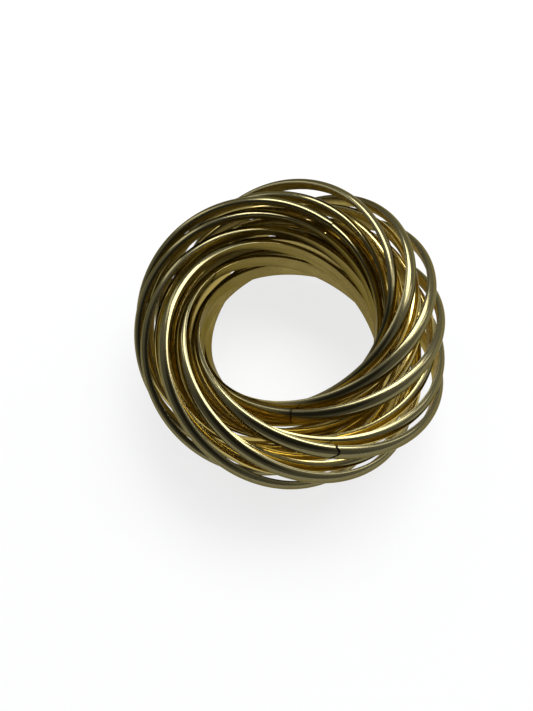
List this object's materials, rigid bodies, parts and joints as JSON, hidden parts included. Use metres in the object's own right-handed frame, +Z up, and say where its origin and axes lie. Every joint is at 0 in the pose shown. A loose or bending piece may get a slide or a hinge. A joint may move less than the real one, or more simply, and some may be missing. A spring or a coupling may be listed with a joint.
{
  "type": "linked ring puzzle",
  "caption": "Loose bundle of equal half-round brass rings, each linked through every other, that rolls inside out.",
  "frame": {"origin": "on the surface that the bundle lies on, below the middle of its outline", "axes": "+Z up through the hole of the bundle, +X to the viewer's right, +Y away from the viewer"},
  "size_m": [0.0652, 0.067, 0.0286],
  "materials": {
    "brass": "bright drawn wire, lightly aged, with fine scratches"
  },
  "bodies": {
    "outer_ring_01": {"outer_ring_01": "brass"},
    "outer_ring_02": {"outer_ring_02": "brass"},
    "outer_ring_03": {"outer_ring_03": "brass"},
    "outer_ring_04": {"outer_ring_04": "brass"},
    "outer_ring_05": {"outer_ring_05": "brass"},
    "outer_ring_06": {"outer_ring_06": "brass"},
    "outer_ring_07": {"outer_ring_07": "brass"},
    "outer_ring_08": {"outer_ring_08": "brass"},
    "outer_ring_09": {"outer_ring_09": "brass"},
    "outer_ring_10": {"outer_ring_10": "brass"},
    "outer_ring_11": {"outer_ring_11": "brass"},
    "inner_ring_01": {"inner_ring_01": "brass"},
    "inner_ring_02": {"inner_ring_02": "brass"},
    "inner_ring_03": {"inner_ring_03": "brass"},
    "inner_ring_04": {"inner_ring_04": "brass"},
    "inner_ring_05": {"inner_ring_05": "brass"},
    "inner_ring_06": {"inner_ring_06": "brass"},
    "inner_ring_07": {"inner_ring_07": "brass"},
    "inner_ring_08": {"inner_ring_08": "brass"},
    "inner_ring_09": {"inner_ring_09": "brass"},
    "inner_ring_10": {"inner_ring_10": "brass"},
    "inner_ring_11": {"inner_ring_11": "brass"}
  },
  "joints": [
    {"name": "outer_ring_02_slide_round", "type": "hinge", "parent": "outer_ring_01", "child": "outer_ring_02", "pos_m": [0.0058, 0.00451, 0.01358], "axis": [-0.28, 0.3267, 0.9027], "continuous": true},
    {"name": "outer_ring_03_slide_round", "type": "hinge", "parent": "outer_ring_01", "child": "outer_ring_03", "pos_m": [0.00332, 0.00695, 0.01346], "axis": [-0.4449, 0.1717, 0.879], "continuous": true},
    {"name": "outer_ring_04_slide_round", "type": "hinge", "parent": "outer_ring_01", "child": "outer_ring_04", "pos_m": [-0.00126, 0.00713, 0.01522], "axis": [-0.4356, -0.1208, 0.892], "continuous": true},
    {"name": "outer_ring_05_slide_round", "type": "hinge", "parent": "outer_ring_01", "child": "outer_ring_05", "pos_m": [-0.00379, 0.00443, 0.01418], "axis": [-0.2757, -0.2865, 0.9175], "continuous": true},
    {"name": "outer_ring_06_slide_round", "type": "hinge", "parent": "outer_ring_01", "child": "outer_ring_06", "pos_m": [-0.00617, 0.00202, 0.01478], "axis": [-0.125, -0.4506, 0.884], "continuous": true},
    {"name": "outer_ring_07_slide_round", "type": "hinge", "parent": "outer_ring_01", "child": "outer_ring_07", "pos_m": [-0.00608, -0.00037, 0.01362], "axis": [0.0336, -0.457, 0.8888], "continuous": true},
    {"name": "outer_ring_08_slide_round", "type": "hinge", "parent": "outer_ring_01", "child": "outer_ring_08", "pos_m": [-0.00464, -0.00329, 0.01342], "axis": [0.2115, -0.3294, 0.9202], "continuous": true},
    {"name": "outer_ring_09_slide_round", "type": "hinge", "parent": "outer_ring_01", "child": "outer_ring_09", "pos_m": [-0.00167, -0.00661, 0.01474], "axis": [0.4648, -0.1628, 0.8704], "continuous": true},
    {"name": "outer_ring_10_slide_round", "type": "hinge", "parent": "outer_ring_01", "child": "outer_ring_10", "pos_m": [0.00174, -0.00704, 0.01382], "axis": [0.4641, 0.0685, 0.8831], "continuous": true},
    {"name": "outer_ring_11_slide_round", "type": "hinge", "parent": "outer_ring_01", "child": "outer_ring_11", "pos_m": [0.00567, -0.00551, 0.01386], "axis": [0.3211, 0.2841, 0.9034], "continuous": true},
    {"name": "inner_ring_01_slide_round", "type": "hinge", "parent": "outer_ring_01", "child": "inner_ring_01", "pos_m": [0.00198, 0.00232, 0.01358], "axis": [-0.1377, 0.0814, 0.9871], "continuous": true},
    {"name": "inner_ring_02_slide_round", "type": "hinge", "parent": "outer_ring_01", "child": "inner_ring_02", "pos_m": [-0.00139, 0.00344, 0.01402], "axis": [-0.216, -0.135, 0.967], "continuous": true},
    {"name": "inner_ring_03_slide_round", "type": "hinge", "parent": "outer_ring_01", "child": "inner_ring_03", "pos_m": [0.0021, -0.00488, 0.0135], "axis": [0.2989, 0.0846, 0.9505], "continuous": true},
    {"name": "inner_ring_04_slide_round", "type": "hinge", "parent": "outer_ring_01", "child": "inner_ring_04", "pos_m": [0.00574, -0.00302, 0.01314], "axis": [0.1625, 0.2611, 0.9515], "continuous": true},
    {"name": "inner_ring_05_slide_round", "type": "hinge", "parent": "outer_ring_01", "child": "inner_ring_05", "pos_m": [0.00423, -0.00075, 0.0133], "axis": [0.0362, 0.1463, 0.9886], "continuous": true},
    {"name": "inner_ring_06_slide_round", "type": "hinge", "parent": "outer_ring_01", "child": "inner_ring_06", "pos_m": [-0.00413, 0.00115, 0.01478], "axis": [-0.0662, -0.3115, 0.9479], "continuous": true},
    {"name": "inner_ring_07_slide_round", "type": "hinge", "parent": "outer_ring_01", "child": "inner_ring_07", "pos_m": [-0.00135, 0.00072, 0.0139], "axis": [-0.0333, -0.1133, 0.993], "continuous": true},
    {"name": "inner_ring_08_slide_round", "type": "hinge", "parent": "outer_ring_01", "child": "inner_ring_08", "pos_m": [0.00219, 0.00476, 0.01378], "axis": [-0.3029, 0.0984, 0.9479], "continuous": true},
    {"name": "inner_ring_09_slide_round", "type": "hinge", "parent": "outer_ring_01", "child": "inner_ring_09", "pos_m": [-0.00071, -0.00416, 0.01382], "axis": [0.2777, -0.0902, 0.9564], "continuous": true},
    {"name": "inner_ring_10_slide_round", "type": "hinge", "parent": "outer_ring_01", "child": "inner_ring_10", "pos_m": [-0.00187, -0.00176, 0.01374], "axis": [0.122, -0.1648, 0.9788], "continuous": true},
    {"name": "inner_ring_11_slide_round", "type": "hinge", "parent": "outer_ring_01", "child": "inner_ring_11", "pos_m": [0.00132, -0.00244, 0.01378], "axis": [0.1432, 0.0357, 0.9891], "continuous": true}
  ]
}
